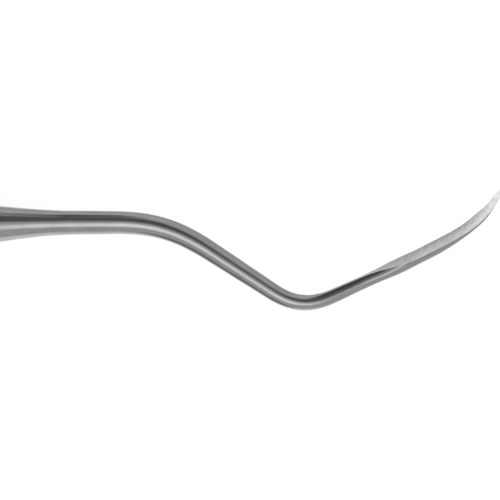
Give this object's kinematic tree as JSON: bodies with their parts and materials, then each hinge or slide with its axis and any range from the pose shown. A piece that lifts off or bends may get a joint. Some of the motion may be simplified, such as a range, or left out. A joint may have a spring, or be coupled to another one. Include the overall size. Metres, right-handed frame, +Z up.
{
  "type": "dental elevator",
  "caption": "Single-ended dental elevator: double-bent steel shank with a slim curved gouge blade, screwed into a hollow eight-sided handle with silicone grip rings.",
  "frame": {"origin": "middle of the handle's bottom flat, which the instrument rests on", "axes": "+X along the handle's axis from the butt towards the blade; +Z up out of the bottom flat; the shank bends in the plane parallel to XY, first towards -Y and back towards +Y"},
  "size_m": [0.1779, 0.0157, 0.0088],
  "materials": {
    "handle_steel": "satin",
    "tip_steel": "fine satin polish",
    "grip_silicone": "matte",
    "code_silicone": "matte"
  },
  "bodies": {
    "handle": {"handle_tube": "handle_steel", "socket_nose": "handle_steel", "rear_plug": "handle_steel", "front_grip_ring_1": "grip_silicone", "front_grip_ring_2": "grip_silicone", "front_grip_ring_3": "grip_silicone", "front_grip_ring_4": "grip_silicone", "front_grip_ring_5": "grip_silicone", "front_grip_ring_6": "grip_silicone", "rear_grip_ring_1": "grip_silicone", "rear_grip_ring_2": "grip_silicone", "rear_grip_ring_3": "grip_silicone"},
    "tip_travel_carrier": {"code_ring": "code_silicone"},
    "tip": {"working_tip": "tip_steel"}
  },
  "joints": [
    {"name": "tip_travel", "type": "slide", "parent": "handle", "child": "tip_travel_carrier", "axis": [1, 0, 0], "range_m": [0, 0.00525]},
    {"name": "tip_turn", "type": "hinge", "parent": "tip_travel_carrier", "child": "tip", "pos_m": [0.0525, 0, 0.0044], "axis": [1, 0, 0], "range_deg": [0, 2520]}
  ],
  "couplings": [
    {"joint": "tip_turn", "follows": "tip_travel", "rad_per_m": 8377.6}
  ]
}
